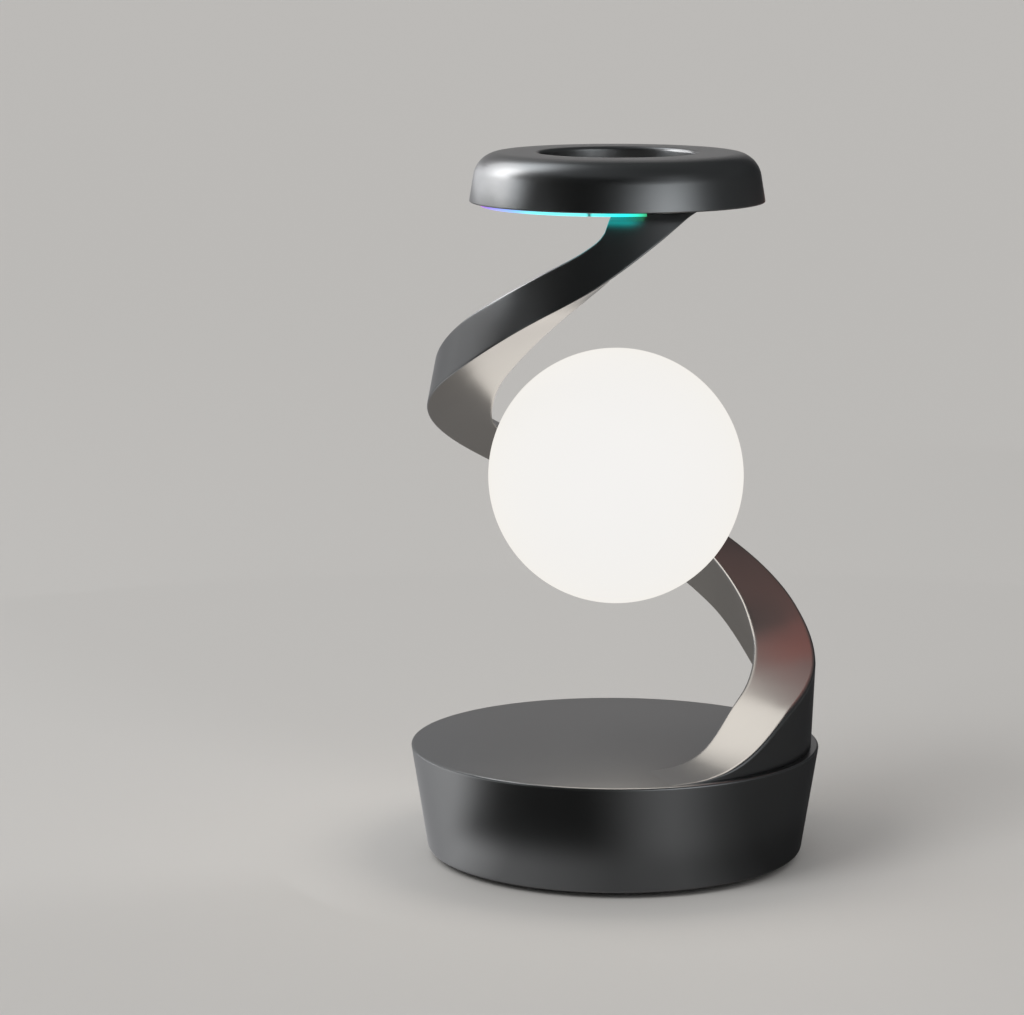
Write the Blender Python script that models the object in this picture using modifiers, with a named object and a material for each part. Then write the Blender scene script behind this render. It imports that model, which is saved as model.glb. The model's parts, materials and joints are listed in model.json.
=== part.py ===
"""A levitating lamp: a drum base, a spiral arm of one turn, a ring-shaped head and a globe that floats between them.

The origin lies on the axis of the base, on the plane that the feet stand on. +Z is up, +X is to the right and -Y is the
front. Lengths are in metres.
"""

import math

import bmesh
import bpy
import numpy as np
from mathutils import Matrix, Vector

# Clearances
GAP = 0.0003
OVERRUN = 0.002
OVERLAP = 0.0005

# Base
BASE_TOP_RADIUS = 0.065
BASE_BOTTOM_RADIUS = 0.0595
BASE_HEIGHT = 0.0345
BASE_WALL = 0.0025
DECK_THICKNESS = 0.0025
BASE_RIM_ROUND = 0.0007
BASE_FLOOR_ROUND = 0.0025
FOOT_HEIGHT = 0.0012
FOOT_RADIUS = 0.006
BOTTOM_THICKNESS = 0.0025
POST_RADIUS = 0.0034

# Screws
SCREW_SHANK_RADIUS = 0.0013
SCREW_HEAD_RADIUS = 0.0025
SCREW_HEAD_HEIGHT = 0.0013
SCREW_GRIP = 0.006

# Levitation module in the base
BOARD_THICKNESS = 0.0016
BOARD_STAND = 0.0024
BOARD_TAB_WIDTH = 0.013
CONNECTOR_SIDE = 0.005
WIRE_SPACE = 0.0047
TRAY_THICKNESS = 0.002
TRAY_RIM = 0.0018
TRAY_LEG_RADIUS = 0.0028
MAGNET_WIDTH = 0.013
SENSOR_THICKNESS = 0.0012
SENSOR_CHIP = 0.0008
SEND_COIL_WIDTH = 0.011
SEND_COIL_THICKNESS = 0.0015

# Power inlet at the back of the base
INLET_RADIUS = 0.0042
INLET_BORE_RADIUS = 0.0028
INLET_PIN_RADIUS = 0.001
INLET_LENGTH = 0.0095
INLET_BORE_DEPTH = 0.008
INLET_COLLAR = 0.0016
INLET_COLLAR_THICKNESS = 0.0016

# Arm
ARM_RISE = 0.1724
ARM_INSET = 0.0012
ARM_BEVEL = 0.0006
ARM_TIP = 0.0006
ARM_HEAD_INSET = 0.0007
ARM_FOOT_LEAN = 0.0013
BARREL_HEIGHT = 0.038
BARREL_POWER_SHARE = 2.65
WIRE_RADIUS = 0.0014
WIRE_CLEARANCE = 0.0006
WIRE_BEND = 0.006
WIRE_TURN = 0.003

# Head
HEAD_RADIUS = 0.04625
HEAD_TOP_RADIUS = 0.0437
HEAD_HEIGHT = 0.0154
HEAD_ROUND = 0.0084
HEAD_WALL = 0.002
HOLE_RADIUS = 0.0246
HOLE_ROUND = 0.0012
PLATE_THICKNESS = 0.002
GUIDE_WIDTH = 0.0017
GUIDE_DROP = 0.0012
GUIDE_HEIGHT = 0.005
LIGHT_BOARD_THICKNESS = 0.0012
HEAD_POST_RADIUS = 0.003

# Globe
GLOBE_RADIUS = 0.0403
GLOBE_CLEARANCE = 0.003
GLOBE_WALL = 0.0016
CUP_WALL = 0.0014
CUP_DEPTH = 0.0105
CUP_FLOOR = 0.0058
FLOAT_MAGNET_HEIGHT = 0.006
RECEIVE_COIL_HEIGHT = 0.002
RECEIVE_COIL_WIDTH = 0.007
DOME_RADIUS = 0.009

# Angles in degrees, counter-clockwise from +X
GUIDE_FROM, GUIDE_TO = 4, 282
WIRE_FROM, WIRE_TO = -28, 281
ARM_FOOT_SCREWS = (-44, -10)
ARM_HEAD_SCREWS = (272, 290)
FOOT_FILLED_TO, FOOT_OPEN_FROM = -6, 22
HEAD_OPEN_TO, HEAD_FILLED_FROM = 262, 272
POST_ANGLES = (60, 120, 240, 300)
FOOT_ANGLES = (0, 90, 180, 270)
LEG_ANGLES = (15, 165, 195, 345)
COIL_ANGLES = (0, 90, 180, 270)
BOARD_STAND_ANGLES = (45, 135, 225, 315)
HEAD_SCREW_ANGLES = (60, 150, 240)
INLET_ANGLE = 90

# Shares of other sizes
GLOBE_HEIGHT_SHARE = 0.4977
OPENING_SHARE = 0.49
CORE_SHARE = 0.38
SENSOR_SHARE = 0.80
BOARD_STAND_SHARE = 0.75
CONNECTOR_SHARE = 0.84
ARM_FILL_SHARE = 0.3

# Facets
ROUND_STEPS = 48
SMALL_STEPS = 16
TUBE_SIDES_RESOLUTION = 2
ARM_STEP_DEGREES = 6

# Stations of the spiral: angle in degrees, then the heights of the top, bottom and inner edges as shares of the arm's
# rise, then where the inner edge lies, as a share of the way out from the globe to the arm's widest circle, or, below
# zero, of the way in from the globe's room to the inner edge of the head's plate.
ARM_STATION_SHARES = (
    (-78, 0.000, 0.000, 0.000, -0.05),
    (-66, 0.004, 0.000, 0.005, -0.05),
    (-58, 0.013, 0.000, 0.014, -0.05),
    (-50, 0.032, 0.000, 0.031, -0.05),
    (-30, 0.104, 0.000, 0.099, -0.04),
    (-15, 0.136, 0.000, 0.129, -0.02),
    (0, 0.164, 0.000, 0.158, 0.02),
    (15, 0.206, 0.000, 0.192, 0.09),
    (30, 0.257, 0.020, 0.250, 0.14),
    (60, 0.355, 0.195, 0.354, 0.17),
    (90, 0.443, 0.330, 0.426, 0.20),
    (120, 0.531, 0.446, 0.493, 0.15),
    (150, 0.623, 0.538, 0.563, -0.02),
    (180, 0.716, 0.625, 0.636, -0.33),
    (210, 0.808, 0.710, 0.712, -0.47),
    (240, 0.890, 0.804, 0.800, -0.60),
    (262, 0.951, 0.867, 0.862, -0.69),
    (265, 0.967, 0.877, 0.871, -0.72),
    (268, 1.000, 0.887, 0.881, -0.75),
    (285, 1.000, 0.942, 0.938, -0.87),
    (302, 1.000, 0.988, 0.986, -0.98),
    (307, 1.000, 0.997, 0.996, -1.00),
)

# Heights worked out from the sizes
shell_bottom = FOOT_HEIGHT + GAP
deck_top = shell_bottom + BASE_HEIGHT
deck_under = deck_top - DECK_THICKNESS
bottom_top = shell_bottom + BOTTOM_THICKNESS
board_bottom = bottom_top + BOARD_STAND
board_top = board_bottom + BOARD_THICKNESS
tray_bottom = board_top + WIRE_SPACE
tray_top = tray_bottom + TRAY_THICKNESS
send_coil_bottom = deck_under - GAP - SEND_COIL_THICKNESS
sensor_top = send_coil_bottom - GAP - SENSOR_CHIP
sensor_bottom = sensor_top - SENSOR_THICKNESS
module_bottom = tray_top + GAP
core_height = sensor_bottom - GAP - module_bottom
head_bottom = deck_top + ARM_RISE
head_top = head_bottom + HEAD_HEIGHT
plate_top = head_bottom + PLATE_THICKNESS
guide_bottom = head_bottom - GUIDE_DROP
light_board_bottom = guide_bottom + GUIDE_HEIGHT + GAP
light_board_top = light_board_bottom + LIGHT_BOARD_THICKNESS
globe_centre = deck_top + ARM_RISE * GLOBE_HEIGHT_SHARE
arm_bottom = deck_top + GAP
arm_top = head_bottom - GAP
wire_level = board_top + WIRE_SPACE / 2

# Radii worked out from the sizes
base_lean = (BASE_TOP_RADIUS - BASE_BOTTOM_RADIUS) / BASE_HEIGHT
shell_floor_inner = BASE_BOTTOM_RADIUS - BASE_WALL
shell_least_inner = min(BASE_TOP_RADIUS, BASE_BOTTOM_RADIUS) - BASE_WALL
bottom_radius = shell_floor_inner - GAP
post_circle = shell_least_inner - POST_RADIUS
barrel_radius = BASE_TOP_RADIUS - ARM_INSET
globe_space = GLOBE_RADIUS + GLOBE_CLEARANCE
channel_radius = WIRE_RADIUS + WIRE_CLEARANCE
wire_circle = min((barrel_radius + globe_space) / 2, shell_least_inner - channel_radius)
tray_radius = min(post_circle - POST_RADIUS, wire_circle - channel_radius) - GAP
leg_circle = tray_radius - TRAY_LEG_RADIUS
board_radius = leg_circle - TRAY_LEG_RADIUS - GAP
magnet_outer = tray_radius - TRAY_RIM
magnet_inner = magnet_outer - MAGNET_WIDTH
coil_radius = (magnet_inner - GAP) / (1 + math.sqrt(2)) - GAP / 2
coil_circle = magnet_inner - GAP - coil_radius
core_radius = coil_radius * CORE_SHARE
head_lean = (HEAD_RADIUS - HEAD_TOP_RADIUS) / HEAD_HEIGHT
cover_inner = HEAD_RADIUS - HEAD_WALL - max(head_lean, 0) * (light_board_top - head_bottom)
guide_outer = cover_inner - GAP
guide_inner = guide_outer - GUIDE_WIDTH
plate_outer = guide_inner - GAP
plate_inner = HOLE_RADIUS + HEAD_WALL + GAP
plate_middle = (plate_outer + plate_inner) / 2
arm_head_radius = plate_outer - ARM_HEAD_INSET
opening_radius = GLOBE_RADIUS * OPENING_SHARE
cap_radius = opening_radius - GAP
arm_screw_circle = (barrel_radius + globe_space) / 2 + SCREW_HEAD_RADIUS

# The inlet stands on the control board, behind the wall of the base
inlet_level = board_top + GAP + INLET_RADIUS
inlet_mouth = BASE_BOTTOM_RADIUS + min(base_lean * (inlet_level + side - shell_bottom)
                                       for side in (-INLET_RADIUS, INLET_RADIUS))
inlet_wall = math.sqrt(shell_least_inner**2 - (INLET_RADIUS + INLET_COLLAR) ** 2) - GAP


def collection(name):
    made = bpy.data.collections.new(name)
    bpy.context.scene.collection.children.link(made)
    return made


def material(name, colour, roughness, metallic=0.0, glow=0.0):
    made = bpy.data.materials.new(name)
    made.use_nodes = True
    shader = made.node_tree.nodes["Principled BSDF"]
    shader.inputs["Base Color"].default_value = (*colour, 1.0)
    shader.inputs["Roughness"].default_value = roughness
    shader.inputs["Metallic"].default_value = metallic
    shader.inputs["Emission Color"].default_value = (*colour, 1.0)
    shader.inputs["Emission Strength"].default_value = glow
    return made


def add_object(name, data, look, home=None):
    made = bpy.data.objects.new(name, data)
    (home or lamp).objects.link(made)
    if look:
        data.materials.append(look)
    return made


def settle(piece, sharp_degrees=35):
    """Turns what the modifiers or the curve make into the piece's own mesh, with its flat and round faces shaded so."""
    graph = bpy.context.evaluated_depsgraph_get()
    mesh = bpy.data.meshes.new_from_object(piece.evaluated_get(graph))
    name, place, homes = piece.name, piece.matrix_world.copy(), list(piece.users_collection)
    bpy.data.objects.remove(piece)
    shape = bmesh.new()
    shape.from_mesh(mesh)
    bmesh.ops.remove_doubles(shape, verts=shape.verts, dist=GAP / 100)
    bmesh.ops.recalc_face_normals(shape, faces=shape.faces)
    shape.to_mesh(mesh)
    shape.free()
    mesh.shade_smooth()
    mesh.set_sharp_from_angle(angle=math.radians(sharp_degrees))
    settled = bpy.data.objects.new(name, mesh)
    settled.name = name
    settled.matrix_world = place
    for home in homes:
        home.objects.link(settled)
    bpy.context.view_layer.update()
    return settled


def polar(radius, degrees, height=0.0):
    angle = math.radians(degrees)
    return Vector((radius * math.cos(angle), radius * math.sin(angle), height))


def rounded(corners, steps=5):
    """The points of an outline whose corners are (x, y) or (x, y, round): a corner with a round becomes an arc."""
    points = []
    for index, corner in enumerate(corners):
        here = Vector(corner[:2])
        if len(corner) == 2:
            points.append(here)
            continue
        before = (Vector(corners[index - 1][:2]) - here).normalized()
        after = (Vector(corners[(index + 1) % len(corners)][:2]) - here).normalized()
        half = before.angle(after) / 2
        centre = here + (before + after).normalized() * corner[2] / math.sin(half)
        start = here + before * corner[2] / math.tan(half) - centre
        sweep = start.angle_signed(here + after * corner[2] / math.tan(half) - centre)
        for step in range(steps + 1):
            turned_start = Matrix.Rotation(-sweep * step / steps, 2) @ start
            points.append(centre + turned_start)
    return points


def turned(name, profile, look, closed=False, steps=ROUND_STEPS, home=None):
    """A profile of (radius, height) points, turned round the Z axis. It runs down its outer side."""
    mesh = bpy.data.meshes.new(name)
    links = [(i, i + 1) for i in range(len(profile) - 1)]
    if closed:
        links.append((len(profile) - 1, 0))
    mesh.from_pydata([(x, 0.0, y) for x, y in profile], links, [])
    piece = add_object(name, mesh, look, home)
    screw = piece.modifiers.new("Turn", "SCREW")
    screw.steps = screw.render_steps = steps
    screw.use_merge_vertices = True
    screw.merge_threshold = GAP / 100
    return settle(piece)


def tube_of_sizes(name, inner, outer, bottom, top, look, steps=ROUND_STEPS):
    """A plain ring with square edges."""
    corners = ((inner, top), (outer, top), (outer, bottom), (inner, bottom))
    return turned(name, corners, look, closed=True, steps=steps)


def disc(name, radius, bottom, top, look, steps=SMALL_STEPS, home=None):
    return turned(name, ((0, top), (radius, top), (radius, bottom), (0, bottom)), look, steps=steps, home=home)


def block(name, sides, centre, look, home=None):
    mesh = bpy.data.meshes.new(name)
    shape = bmesh.new()
    bmesh.ops.create_cube(shape, size=1.0)
    bmesh.ops.scale(shape, vec=sides, verts=shape.verts)
    shape.to_mesh(mesh)
    shape.free()
    made = add_object(name, mesh, look, home)
    made.location = centre
    bpy.context.view_layer.update()
    return made


def plate_of_outlines(name, outlines, bottom, thickness, look):
    """A flat plate from closed outlines of (x, y) points: the first is its edge and the others are holes."""
    curve = bpy.data.curves.new(name, "CURVE")
    curve.dimensions = "2D"
    curve.fill_mode = "BOTH"
    curve.extrude = thickness / 2
    for outline in outlines:
        spline = curve.splines.new("POLY")
        spline.points.add(len(outline) - 1)
        for point, (x, y) in zip(spline.points, outline):
            point.co = (x, y, 0.0, 1.0)
        spline.use_cyclic_u = True
    piece = add_object(name, curve, look)
    piece.location.z = bottom + thickness / 2
    bpy.context.view_layer.update()
    return settle(piece)


def arc_points(radius, start, end, steps=ROUND_STEPS, centre=(0.0, 0.0)):
    """Points on a circle from one angle to another, both included."""
    count = max(2, round(steps * abs(end - start) / 360))
    angles = [math.radians(start + (end - start) * i / count) for i in range(count + 1)]
    return [(centre[0] + radius * math.cos(a), centre[1] + radius * math.sin(a)) for a in angles]


def circle_points(radius, steps=ROUND_STEPS, centre=(0.0, 0.0)):
    return arc_points(radius, 0, 360, steps, centre)[:-1]


def tube(name, points, radius, look, home=None):
    """A round tube along points, with closed ends."""
    curve = bpy.data.curves.new(name, "CURVE")
    curve.dimensions = "3D"
    curve.bevel_depth = radius
    curve.bevel_resolution = TUBE_SIDES_RESOLUTION
    curve.use_fill_caps = True
    spline = curve.splines.new("POLY")
    spline.points.add(len(points) - 1)
    for point, place in zip(spline.points, points):
        point.co = (*place, 1.0)
    return settle(add_object(name, curve, look, home))


def combine(piece, others, operation):
    """Cuts the others from the piece, or joins them to it, and keeps them as hidden helpers."""
    for other in others:
        for home in list(other.users_collection):
            home.objects.unlink(other)
        cutters.objects.link(other)
        other.hide_render = True
        other.display_type = "WIRE"
        boolean = piece.modifiers.new(other.name, "BOOLEAN")
        boolean.operation = operation
        boolean.object = other
    bpy.context.view_layer.update()
    return settle(piece)


def cut(piece, others):
    return combine(piece, others, "DIFFERENCE")


def join(piece, others):
    return combine(piece, others, "UNION")


def post(name, radius, angle, circle, bottom, top):
    made = disc(name, radius, bottom, top, None)
    made.location = polar(circle, angle)
    bpy.context.view_layer.update()
    return made


def screw_profile(grow=0.0, reach=0.0):
    """A cap screw, head up, whose seat is at height 0. The clearance that its hole needs can be added to it."""
    return (
        (0, SCREW_HEAD_HEIGHT + grow + reach),
        (SCREW_HEAD_RADIUS + grow, SCREW_HEAD_HEIGHT + grow + reach),
        (SCREW_HEAD_RADIUS + grow, -grow),
        (SCREW_SHANK_RADIUS + grow, -grow),
        (SCREW_SHANK_RADIUS + grow, -SCREW_GRIP - grow),
        (0, -SCREW_GRIP - grow),
    )


def screw(name, circle, angle, seat, upward, hole=False):
    """A screw on a circle round the axis, or its hole. Its head looks down when it is driven upward."""
    if hole:
        made = turned(name, screw_profile(GAP, OVERRUN), None, steps=SMALL_STEPS)
    else:
        made = turned(name, screw_profile(), steel, steps=SMALL_STEPS)
    if upward:
        made.rotation_euler.x = math.pi
    made.location = polar(circle, angle, seat)
    bpy.context.view_layer.update()
    return made


def eased(stations, column, angle):
    """Reads one column of the stations at an angle, on a smooth curve that doesn't swing past its points."""
    turns = [row[0] for row in stations]
    values = [row[column] for row in stations]
    slopes = [(b - a) / (q - p) for a, b, p, q in zip(values, values[1:], turns, turns[1:])]
    tangents = [slopes[0]]
    tangents += [0.0 if a * b <= 0 else 2 * a * b / (a + b) for a, b in zip(slopes, slopes[1:])]
    tangents.append(slopes[-1])
    index = int(np.clip(np.searchsorted(turns, angle, side="right") - 1, 0, len(turns) - 2))
    width = turns[index + 1] - turns[index]
    t = (angle - turns[index]) / width
    return (
        values[index] * (1 + 2 * t) * (1 - t) ** 2
        + tangents[index] * width * t * (1 - t) ** 2
        + values[index + 1] * t * t * (3 - 2 * t)
        + tangents[index + 1] * width * t * t * (t - 1)
    )


def outer_radius(height):
    """The arm's outer wall lies on a barrel that narrows towards the head and, a little, towards the deck."""
    if height < BARREL_HEIGHT:
        return barrel_radius - ARM_FOOT_LEAN * (1 - height / BARREL_HEIGHT) ** 2
    share = (height - BARREL_HEIGHT) / (ARM_RISE - BARREL_HEIGHT)
    return barrel_radius - (barrel_radius - arm_head_radius) * share**BARREL_POWER_SHARE


def arm_corners(angle):
    """The top, bottom and inner corners of the arm at an angle, as (radius, height above the deck)."""
    rise = arm_top - arm_bottom
    top = max(eased(ARM_STATION_SHARES, 1, angle) * rise, ARM_TIP)
    bottom = min(eased(ARM_STATION_SHARES, 2, angle) * rise, rise - ARM_TIP)
    inner = min(max(eased(ARM_STATION_SHARES, 3, angle) * rise, ARM_TIP), rise - ARM_TIP)
    share = eased(ARM_STATION_SHARES, 4, angle)
    reach = globe_space + share * (barrel_radius - globe_space if share > 0 else globe_space - plate_inner)
    return Vector((outer_radius(top), top)), Vector((outer_radius(bottom), bottom)), Vector((reach, inner))


def filled(start, end, angle):
    """How far the arm's section has filled out between two angles, from 0 to 1, with eased ends."""
    share = min(max((angle - start) / (end - start), 0.0), 1.0)
    return share * share * (3 - 2 * share)


def arm_section(angle):
    """The arm's outline at an angle: a triangle that fills out to the deck at its foot and to the head at its end."""
    top, bottom, inner = arm_corners(angle)
    foot = bottom.lerp(inner, ARM_FILL_SHARE).lerp((inner.x, 0), filled(FOOT_OPEN_FROM, FOOT_FILLED_TO, angle))
    end = top.lerp(inner, ARM_FILL_SHARE).lerp((inner.x, arm_top - arm_bottom),
                                               filled(HEAD_OPEN_TO, HEAD_FILLED_FROM, angle))
    corners = (top, bottom, foot, inner, end)
    outline = []
    for index, corner in enumerate(corners):
        for other in (corners[index - 1], corners[(index + 1) % len(corners)]):
            side = other - corner
            outline.append(corner + side * min(ARM_BEVEL / side.length, 0.25))
    return outline


def arm_middle(angle):
    """The centre of the largest circle that fits in the arm at an angle, as a point in space."""
    top, bottom, inner = arm_corners(angle)
    weights = (bottom - inner).length, (top - inner).length, (top - bottom).length
    middle = (top * weights[0] + bottom * weights[1] + inner * weights[2]) / sum(weights)
    return polar(middle.x, angle, arm_bottom + middle.y)


def smooth_route(knots, spacing):
    """Points about a spacing apart on a smooth curve through the knots."""
    ends = [knots[0] * 2 - knots[1]] + list(knots) + [knots[-1] * 2 - knots[-2]]
    points = []
    for a, b, c, d in zip(ends, ends[1:], ends[2:], ends[3:]):
        count = max(1, round((c - b).length / spacing))
        for step in range(count):
            t = step / count
            points.append(
                (b * 2 + (c - a) * t + (a * 2 - b * 5 + c * 4 - d) * t**2 + (b * 3 - a - c * 3 + d) * t**3) / 2
            )
    points.append(knots[-1])
    return points


def wire_knots():
    """The wires' route: up from below the deck, along the middle of the arm, and up to the light board in the head."""
    first = arm_middle(WIRE_FROM)
    last = polar(plate_middle, WIRE_TO, arm_middle(WIRE_TO).z)
    climb = [polar(wire_circle, WIRE_FROM, z) for z in np.linspace(wire_level + WIRE_TURN, first.z - WIRE_BEND, 4)]
    turns = np.linspace(WIRE_FROM, WIRE_TO, 25)
    spiral = [arm_middle(angle) for angle in turns[1:-1]]
    leave = [Vector((last.x, last.y, z)) for z in (last.z + WIRE_BEND / 2, light_board_bottom - GAP)]
    return climb + spiral + leave


def make_arm():
    table = [row[0] for row in ARM_STATION_SHARES]
    regular = range(table[0], table[-1], ARM_STEP_DEGREES)
    angles = sorted(set(table) | {a for a in regular if min(abs(a - b) for b in table) >= ARM_STEP_DEGREES / 2})
    shape = bmesh.new()
    rings = []
    for angle in angles:
        ring = [shape.verts.new(polar(p.x, angle, arm_bottom + p.y)) for p in arm_section(angle)]
        rings.append(ring)
    for ring, following in zip(rings, rings[1:]):
        for i in range(len(ring)):
            j = (i + 1) % len(ring)
            shape.faces.new((ring[i], ring[j], following[j], following[i]))
    shape.faces.new(rings[0])
    shape.faces.new(reversed(rings[-1]))
    bmesh.ops.recalc_face_normals(shape, faces=shape.faces)
    mesh = bpy.data.meshes.new("arm")
    shape.to_mesh(mesh)
    shape.free()
    arm = add_object("arm", mesh, graphite)
    channel = tube("arm_channel", smooth_route(wire_knots(), WIRE_BEND), channel_radius, None)
    holes = [channel]
    holes += [screw("arm_foot_bore", arm_screw_circle, a, deck_under, True, hole=True) for a in ARM_FOOT_SCREWS]
    holes += [screw("arm_head_bore", plate_middle, a, plate_top, False, hole=True) for a in ARM_HEAD_SCREWS]
    return cut(arm, holes)


def make_wires():
    board_end = polar(board_radius * CONNECTOR_SHARE + CONNECTOR_SIDE / 2 + GAP, WIRE_FROM, wire_level)
    turn = polar(wire_circle - WIRE_TURN, WIRE_FROM, wire_level)
    tube("arm_wires", smooth_route([board_end, turn] + wire_knots(), WIRE_BEND), WIRE_RADIUS, black_plastic)


def make_base():
    top, bottom, inner = BASE_TOP_RADIUS, BASE_BOTTOM_RADIUS, BASE_WALL
    profile = rounded(
        (
            (0, deck_top),
            (top, deck_top, BASE_RIM_ROUND),
            (bottom, shell_bottom, BASE_FLOOR_ROUND),
            (bottom - inner, shell_bottom),
            (bottom - inner, bottom_top),
            (top - inner, deck_under),
            (0, deck_under),
        ),
        steps=3,
    )
    shell = turned("base_shell", profile, graphite)
    posts = [
        post("shell_post", POST_RADIUS, angle, post_circle, bottom_top + GAP, deck_under + OVERLAP)
        for angle in POST_ANGLES
    ]
    shell = join(shell, posts)
    wire_hole = disc("deck_wire_hole", channel_radius, deck_under - OVERRUN, deck_top + OVERRUN, None)
    wire_hole.location = polar(wire_circle, WIRE_FROM)
    bores = [screw("post_bore", post_circle, a, bottom_screw_seat, True, hole=True) for a in POST_ANGLES]
    bores += [screw("deck_bore", arm_screw_circle, a, deck_under, True, hole=True) for a in ARM_FOOT_SCREWS]
    widest = max(BASE_TOP_RADIUS, BASE_BOTTOM_RADIUS) + OVERRUN
    mouth = disc("inlet_hole", INLET_RADIUS + GAP, -widest, -shell_floor_inner / 2, None)
    place_inlet(mouth)
    shell = cut(shell, [wire_hole, mouth] + bores)

    plate = disc("bottom_plate", bottom_radius, shell_bottom, bottom_top, black_plastic, steps=ROUND_STEPS)
    stands = [
        post("board_stand", SCREW_HEAD_RADIUS, angle, board_radius * BOARD_STAND_SHARE, bottom_top - OVERLAP,
             board_bottom - GAP)
        for angle in BOARD_STAND_ANGLES
    ]
    plate = join(plate, stands)
    cut(plate, [screw("plate_hole", post_circle, a, bottom_screw_seat, True, hole=True) for a in POST_ANGLES])
    for number, angle in enumerate(POST_ANGLES, 1):
        screw(f"plate_screw_{number}", post_circle, angle, bottom_screw_seat, True)
    for number, angle in enumerate(FOOT_ANGLES, 1):
        foot = disc(f"foot_{number}", FOOT_RADIUS, 0, FOOT_HEIGHT, rubber)
        foot.location = polar(post_circle - FOOT_RADIUS, angle)
    for number, angle in enumerate(ARM_FOOT_SCREWS, 1):
        screw(f"arm_foot_screw_{number}", arm_screw_circle, angle, deck_under - GAP, True)


def place_inlet(piece):
    """Lays a piece that is turned round Z, its mouth at the bottom, along the inlet's axis with its mouth at the back."""
    piece.rotation_euler.x = math.pi / 2
    piece.location.z = inlet_level
    bpy.context.view_layer.update()


def make_inlet():
    collar = INLET_RADIUS + INLET_COLLAR
    profile = (
        (0, INLET_LENGTH - inlet_mouth),
        (INLET_RADIUS, INLET_LENGTH - inlet_mouth),
        (INLET_RADIUS, INLET_COLLAR_THICKNESS - inlet_wall),
        (collar, INLET_COLLAR_THICKNESS - inlet_wall),
        (collar, -inlet_wall),
        (INLET_RADIUS, -inlet_wall),
        (INLET_RADIUS, -inlet_mouth),
        (INLET_BORE_RADIUS, -inlet_mouth),
        (INLET_BORE_RADIUS, INLET_BORE_DEPTH - inlet_mouth),
        (INLET_PIN_RADIUS, INLET_BORE_DEPTH - inlet_mouth),
        (INLET_PIN_RADIUS, INLET_BORE_DEPTH / 4 - inlet_mouth),
        (0, INLET_BORE_DEPTH / 4 - inlet_mouth),
    )
    place_inlet(turned("dc_inlet", profile, black_plastic, steps=SMALL_STEPS))


def make_module():
    tab_reach = inlet_wall - INLET_COLLAR_THICKNESS - GAP
    half = math.degrees(math.asin(BOARD_TAB_WIDTH / 2 / board_radius))
    edge = arc_points(board_radius, INLET_ANGLE + half, INLET_ANGLE + 360 - half)
    edge += [(BOARD_TAB_WIDTH / 2, tab_reach), (-BOARD_TAB_WIDTH / 2, tab_reach)]
    board = plate_of_outlines("control_board", [edge], board_bottom, BOARD_THICKNESS, circuit_green)
    side = CONNECTOR_SIDE
    plug = block("board_connector", (side, side * 1.6, side), (0, 0, 0), None)
    plug.location = polar(board_radius * CONNECTOR_SHARE, WIRE_FROM, board_top - OVERLAP + side / 2)
    plug.rotation_euler.z = math.radians(WIRE_FROM)
    plug.scale.z = (WIRE_SPACE - GAP + OVERLAP) / side
    plug.location.z = board_top - OVERLAP + side * plug.scale.z / 2
    bpy.context.view_layer.update()
    join(board, [plug])

    tray = disc("module_tray", tray_radius, tray_bottom, tray_top, black_plastic, steps=ROUND_STEPS)
    legs = [
        post("tray_leg", TRAY_LEG_RADIUS, angle, leg_circle, bottom_top + GAP, tray_bottom + OVERLAP)
        for angle in LEG_ANGLES
    ]
    join(tray, legs)
    magnet_top = module_bottom + core_height - GAP
    tube_of_sizes("ring_magnet", magnet_inner, magnet_outer, module_bottom, magnet_top, ferrite)
    for number, angle in enumerate(COIL_ANGLES, 1):
        coil = tube_of_sizes(f"coil_{number}", core_radius + GAP, coil_radius, module_bottom, magnet_top, copper,
                             steps=SMALL_STEPS * 2)
        core = disc(f"coil_core_{number}", core_radius, module_bottom, module_bottom + core_height, steel)
        coil.location = core.location = polar(coil_circle, angle)
    sensors = disc("hall_board", magnet_inner * SENSOR_SHARE, sensor_bottom, sensor_top, circuit_green,
                   steps=SMALL_STEPS * 2)
    chip = block("hall_chip", (SENSOR_CHIP * 5, SENSOR_CHIP * 5, SENSOR_CHIP + OVERLAP),
                 (0, 0, sensor_top + (SENSOR_CHIP - OVERLAP) / 2), None)
    join(sensors, [chip])
    tube_of_sizes("transmitter_coil", magnet_inner - SEND_COIL_WIDTH, magnet_inner, send_coil_bottom,
                  send_coil_bottom + SEND_COIL_THICKNESS, copper, steps=ROUND_STEPS)


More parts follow.
